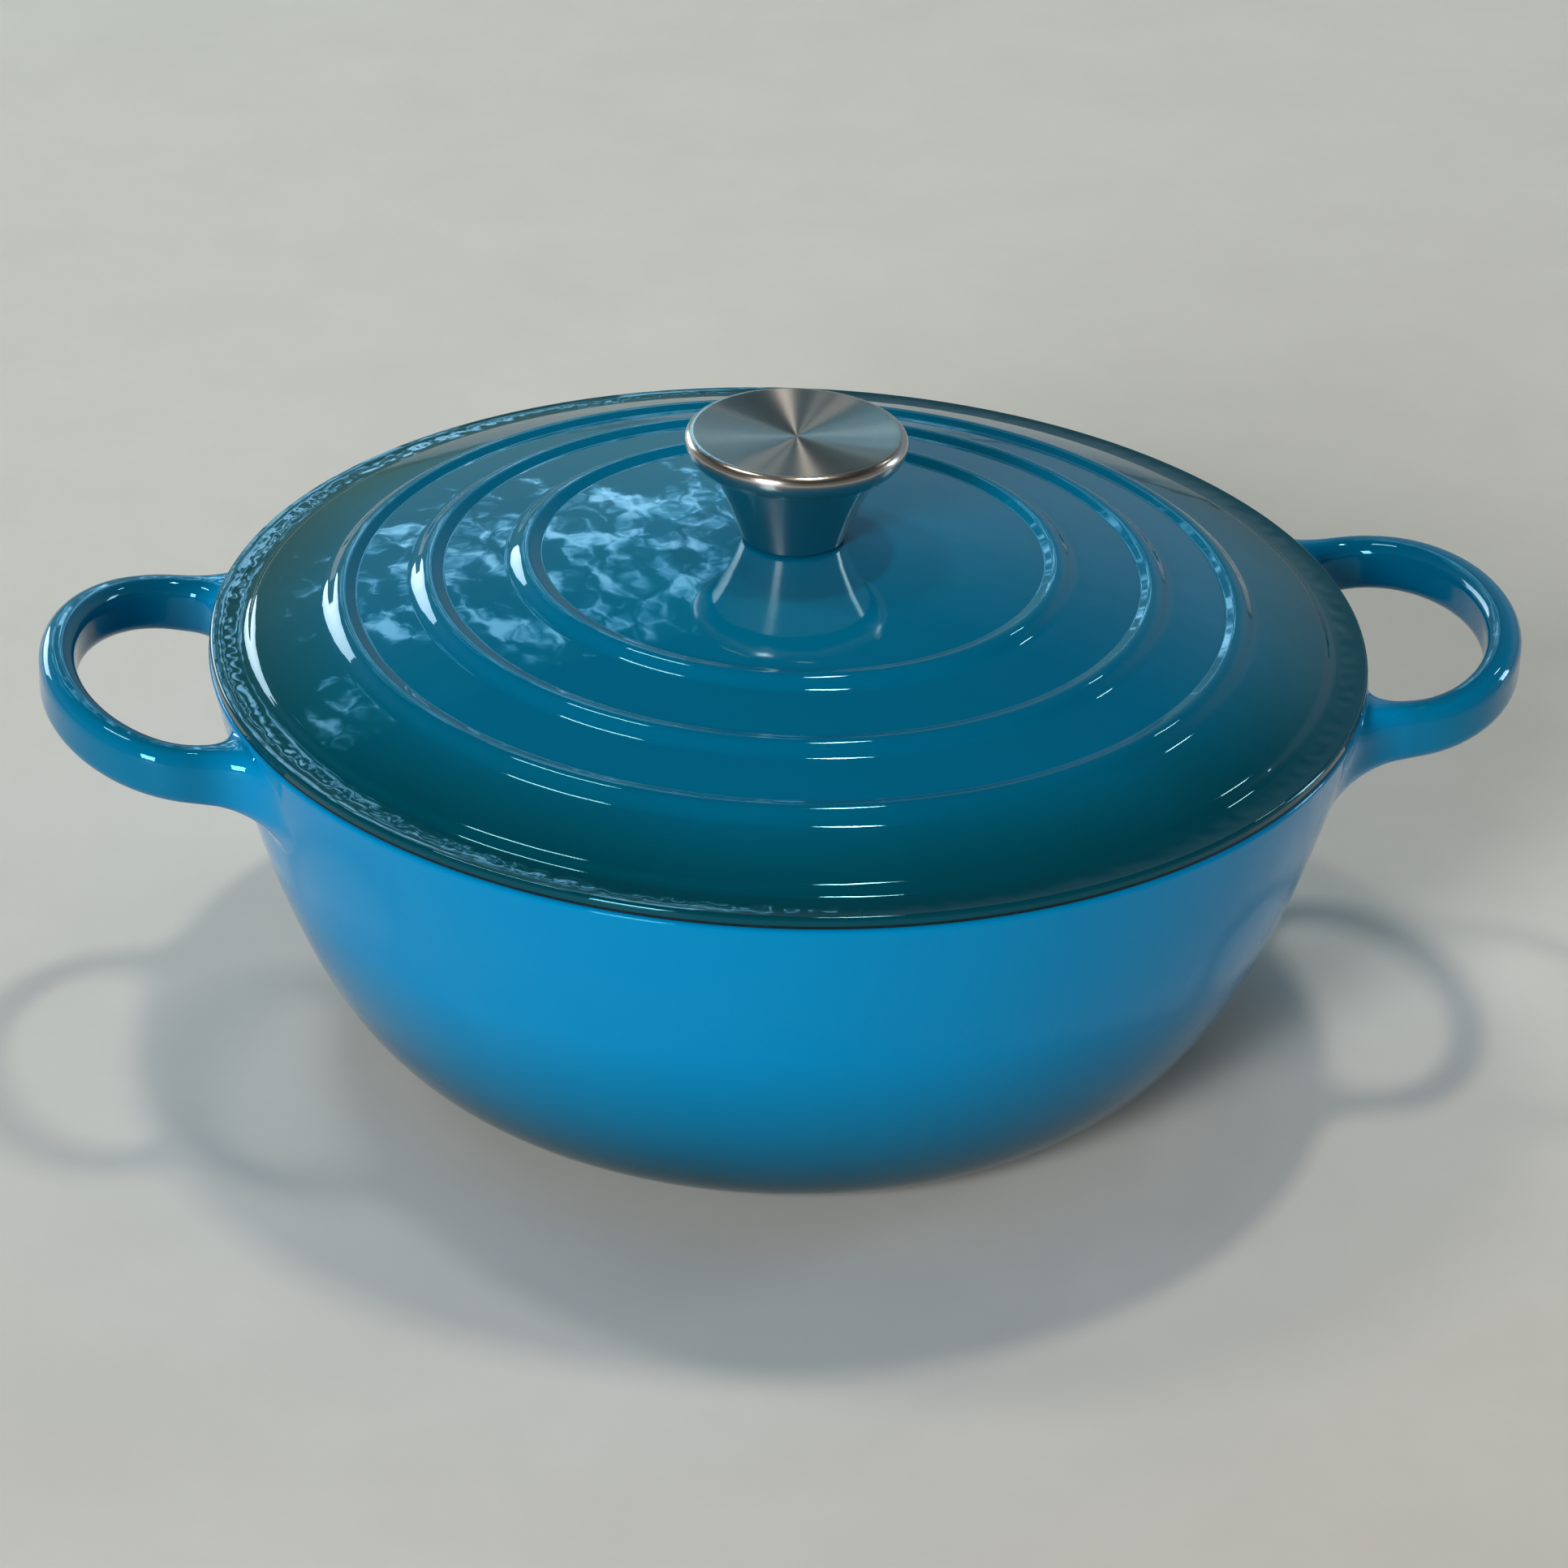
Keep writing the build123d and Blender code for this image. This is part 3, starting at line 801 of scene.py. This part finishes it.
def lid_runs():
    """The lid's outline: lining from the screw hole outwards, resting edge, then the top inwards."""
    inner = LOCATOR_RADIUS - LOCATOR_WIDTH
    low = RIM_LEVEL - LOCATOR_DEPTH
    tip = (LOCATOR_RADIUS - LOCATOR_WIDTH / 2, low, 0.0)
    dark_end = (LID_RADIUS, RIM_LEVEL + LID_DARK_EDGE, 0.0)
    under = [(HOLE_RADIUS, BOSS_FACE, 0.0), (BOSS_RADIUS, BOSS_FACE, BOSS_ROUND)]
    under.append((BOSS_RADIUS, dome_level(BOSS_RADIUS, LID_WALL), BOSS_ROUND))
    under += dome_run(BOSS_RADIUS, inner, LID_WALL)
    under += [(inner, dome_level(inner, LID_WALL), LOCATOR_ROUND), (inner, low, LOCATOR_ROUND), tip]
    edge = [tip, (LOCATOR_RADIUS, low, LOCATOR_ROUND), (LOCATOR_RADIUS, RIM_LEVEL, LID_LOW_CORNER)]
    edge += [(LID_RADIUS, RIM_LEVEL, LID_LOW_CORNER), dark_end]

    flange = (LID_RADIUS - FLANGE_WIDTH, LID_EDGE_TOP + FLANGE_RISE)
    lip = (LID_RADIUS, LID_EDGE_TOP)
    dish = ((flange[0] + lip[0]) / 2, (flange[1] + lip[1]) / 2 - FLANGE_DISH)
    top = [dark_end, (*lip, LID_TOP_CORNER)]
    top += three_point_run(lip, dish, flange, DISH_STEPS)
    top += [(*flange, SHOULDER_ROUND), (SHOULDER_RADIUS, dome_level(SHOULDER_RADIUS), SHOULDER_ROUND)]
    smooth_from = SHOULDER_RADIUS
    for crease in RING_CREASES[::-1]:
        crest = crease + RING_INNER_SLOPE
        foot = crest + RING_OUTER_SLOPE
        top += dome_run(smooth_from, foot)
        top.append((foot, dome_level(foot), RING_FOOT_ROUND))
        top.append((crest, dome_level(crest) + RING_HEIGHT, RING_CREST_ROUND))
        top.append((crease, dome_level(crease), RING_CREASE_ROUND))
        smooth_from = crease
    pad_foot = PAD_RADIUS + PAD_SIDE
    top += dome_run(smooth_from, pad_foot) + [(pad_foot, dome_level(pad_foot), PAD_ROUND)]
    top += [(PAD_RADIUS, KNOB_SEAT, PAD_ROUND), (HOLE_RADIUS, KNOB_SEAT, 0.0)]
    return [("lining", under), ("edge", edge), ("outside", top)]


lid_finishes = {"outside": lid_enamel, "edge": dark_edge, "lining": lining}
lid_mesh = turned(lid_runs(), LID_TURN_STEPS, closed=True)
new_piece("lid_casting", lid_mesh, lid_finishes, "lid", "lid")

# Knob


def cap_runs():
    """The knob cap's outline: inside face, ledge, rounded rim, then the dished top."""
    rim_level = KNOB_TOP - RIM_OVER_ROUND
    lip_radius = KNOB_RIM_RADIUS - RIM_OVER_ROUND
    seam_radius = KNOB_RIM_RADIUS - RIM_UNDER_ROUND
    ledge_end = seam_radius - SEAM_LEDGE

    def dish(inset):
        """The dished face from the middle to the lip, a quarter of the way up at half its radius."""
        middle = (0.0, KNOB_TOP - KNOB_DISH - inset)
        halfway = (lip_radius / 2, middle[1] + KNOB_DISH / 4)
        lip = (lip_radius, KNOB_TOP - inset)
        return [(*middle, 0.0)] + three_point_run(middle, halfway, lip, FACE_STEPS) + [(*lip, 0.0)]

    def rim(inset):
        """The rim from the lip round to the seam."""
        over = arc_run((lip_radius, rim_level), RIM_OVER_ROUND - inset, pi / 2, 0, RIM_STEPS)
        under = arc_run((seam_radius, rim_level), RIM_UNDER_ROUND - inset, 0, -pi / 2, RIM_STEPS)
        return over + under[1:]

    hidden = dish(KNOB_SHEET)[:-1] + rim(KNOB_SHEET)
    hidden += [(ledge_end, SEAM_LEVEL + KNOB_SHEET, 0.0), (ledge_end, SEAM_LEVEL, 0.0)]
    return [("rim", hidden + rim(0.0)[::-1]), ("top", dish(0.0)[::-1])]


def stem_runs():
    """The knob stem's outline: foot, flared outside, seam, inside and plate."""
    foot = (STEM_BASE_RADIUS, KNOB_SEAT)
    waist = (STEM_WAIST_RADIUS, KNOB_SEAT + STEM_WAIST_HEIGHT)
    seam = (stem_high.x, SEAM_LEVEL)
    inner_seam = (seam[0] - KNOB_SHEET, SEAM_LEVEL)
    inner_waist = (waist[0] - KNOB_SHEET, waist[1])
    plate = (STEM_BASE_RADIUS - KNOB_SHEET, KNOB_SEAT + STEM_PLATE)
    outline = [(HOLE_RADIUS, KNOB_SEAT, 0.0), (*foot, STEM_FOOT_ROUND)]
    outline += three_point_run(foot, waist, seam, STEM_STEPS) + [(*seam, 0.0), (*inner_seam, 0.0)]
    outline += three_point_run(inner_seam, inner_waist, plate, STEM_STEPS)
    outline += [(*plate, 0.0), (HOLE_RADIUS, plate[1], 0.0)]
    return [("side", outline)]


cap_finishes = {"rim": polished_steel, "top": brushed_steel}
cap_mesh = turned(cap_runs(), KNOB_TURN_STEPS)
new_piece("knob_cap_shell", cap_mesh, cap_finishes, "lid", "knob_cap")
stem_mesh = turned(stem_runs(), KNOB_TURN_STEPS, closed=True)
new_piece("knob_stem_shell", stem_mesh, {"side": stem_steel}, "lid", "knob_stem")

# Knob fixing: the CAD pieces stay as they are and get a finish
for node_name in ("knob_bush", "knob_screw", "screw_washer"):
    node_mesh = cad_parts[node_name].data
    node_mesh.materials.clear()
    node_mesh.materials.append(turned_steel)

# Floor


def pale_floor():
    """A wide plain floor under the pot."""
    sides = [(-1, -1), (1, -1), (1, 1), (-1, 1)]
    corners = [(x * FLOOR_HALF_SIZE, y * FLOOR_HALF_SIZE, 0) for x, y in sides]
    mesh = bpy.data.meshes.new("floor")
    mesh.from_pydata(corners, [], [(0, 1, 2, 3)])
    mesh.materials.append(floor_material())
    floor = add_object("floor", mesh)


pale_floor()

# Camera and light


def add_camera():
    """The camera of the photograph."""
    level = cos(CAMERA_PITCH)
    forward = Vector((cos(CAMERA_HEADING) * level, sin(CAMERA_HEADING) * level, -sin(CAMERA_PITCH)))
    right = forward.cross(Vector((0, 0, 1))).normalized()
    up = right.cross(forward)
    rolled_right = right * cos(CAMERA_ROLL) + up * sin(CAMERA_ROLL)
    rolled_up = up * cos(CAMERA_ROLL) - right * sin(CAMERA_ROLL)
    data = bpy.data.cameras.new("camera")
    data.lens = CAMERA_LENS
    data.sensor_width = CAMERA_SENSOR
    camera = add_object("camera", data)
    rotation = Matrix((rolled_right, rolled_up, -forward)).transposed()
    camera.matrix_world = Matrix.Translation(CAMERA_PLACE) @ rotation.to_4x4()
    bpy.context.scene.camera = camera


def area_light(name, azimuth, elevation, distance, size, radiance, tint):
    """A flat lamp aimed at the pot. Azimuth is to the right of the way the camera faces, in degrees."""
    heading = CAMERA_HEADING - radians(azimuth)
    level = cos(radians(elevation))
    direction = Vector((cos(heading) * level, sin(heading) * level, sin(radians(elevation))))
    data = bpy.data.lights.new(name, "AREA")
    data.shape = "RECTANGLE"
    data.size, data.size_y = size
    data.energy = LAMP_POWER * size[0] * size[1] * radiance
    data.color = tint
    light = add_object(name, data)
    light.location = LAMP_TARGET + direction * distance
    light.rotation_euler = (-direction).to_track_quat("-Z", "Y").to_euler()
    return data


def leafy(light):
    """Turns a lamp's face into a window on trees: dark leaves with sky between them in a few gaps."""
    light.use_nodes = True
    graph = Graph(light.node_tree)
    face = graph.add("NewGeometry").outputs["Parametric"]
    tall = graph.add("VectorMath", {0: face, 1: LEAF_STRETCH}, operation="MULTIPLY").outputs["Vector"]
    leaves = graph.noise(tall, LEAF_SIZE, detail=6, roughness=0.72, distortion=0.4)
    closed = 1.0
    for middle, reach in SKY_GAPS:
        distance = graph.add("VectorMath", {0: face, 1: middle}, operation="DISTANCE").outputs["Value"]
        past_gap = graph.math("MAXIMUM", graph.math("SUBTRACT", distance, reach), 0.0)
        closed = graph.math("MINIMUM", closed, past_gap)
    sky = graph.math("SUBTRACT", leaves, closed)
    graph.put(light.node_tree.nodes["Emission"], "Color", graph.ramp(sky, LEAF_STOPS))


def add_world():
    """A dim room: pale low down, dark overhead, with a cool wall beyond the pot to the right."""
    world = bpy.data.worlds.new("world")
    bpy.context.scene.world = world
    world.use_nodes = True
    graph = Graph(world.node_tree)
    direction = graph.add("TexCoord").outputs["Generated"]
    room = graph.ramp(graph.height(direction), ROOM_STOPS)
    heading = CAMERA_HEADING - radians(FAR_WALL_AZIMUTH)
    wall = (cos(heading), sin(heading), 0)
    towards = graph.add("VectorMath", {0: direction, 1: wall}, operation="DOT_PRODUCT").outputs["Value"]
    strength = graph.ramp(towards, FAR_WALL_STOPS)
    colour = graph.add("VectorMath", {0: room, 1: strength}, operation="MULTIPLY").outputs["Vector"]
    graph.put(world.node_tree.nodes["Background"], "Color", colour)


add_camera()
for lamp in LAMPS:
    area_light(*lamp)
leafy(area_light(*LEAFY_LAMP))
add_world()
bpy.context.scene.view_settings.view_transform = "Standard"
